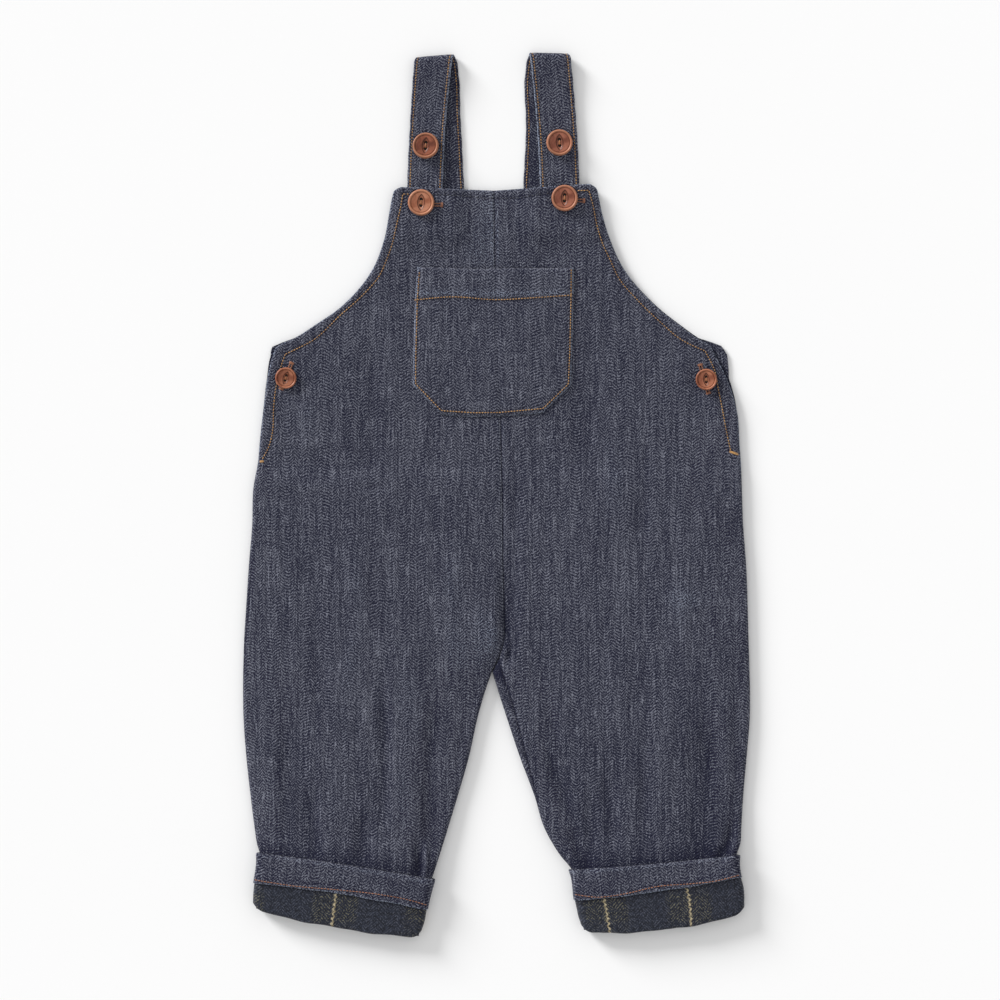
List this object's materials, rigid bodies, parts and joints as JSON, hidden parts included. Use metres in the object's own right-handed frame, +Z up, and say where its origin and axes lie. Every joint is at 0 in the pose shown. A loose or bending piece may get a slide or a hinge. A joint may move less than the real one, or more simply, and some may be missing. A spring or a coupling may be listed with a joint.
{
  "type": "toddler bib overalls",
  "caption": "Denim bib overalls laid flat, front up: lined legs with turned-up checked cuffs, a chest pocket, shoulder straps buttoned behind the bib and buttoned side openings.",
  "frame": {"origin": "on the table, under the middle of the garment's length and width", "axes": "+X towards the wearer's left, +Y from the cuffs up to the shoulder straps, +Z up out of the front of the garment"},
  "size_m": [0.3501, 0.61, 0.0122],
  "materials": {
    "denim": "washed blue-grey denim, herringbone twill",
    "plaid_lining": "brushed cotton check in navy and olive",
    "button_brown": "semi-gloss reddish brown"
  },
  "bodies": {
    "root": {"front_right": "denim", "front_left": "denim", "back_right": "denim", "back_left": "denim", "chest_pocket": "denim", "strap_right": "denim", "strap_left": "denim", "cuff_hem_right": "denim", "cuff_hem_left": "denim", "cuff_lining_right": "plaid_lining", "cuff_lining_left": "plaid_lining", "bib_button_right": "button_brown", "bib_button_left": "button_brown", "strap_button_right": "button_brown", "strap_button_left": "button_brown", "side_button_right": "button_brown", "side_button_left": "button_brown"}
  },
  "joints": []
}
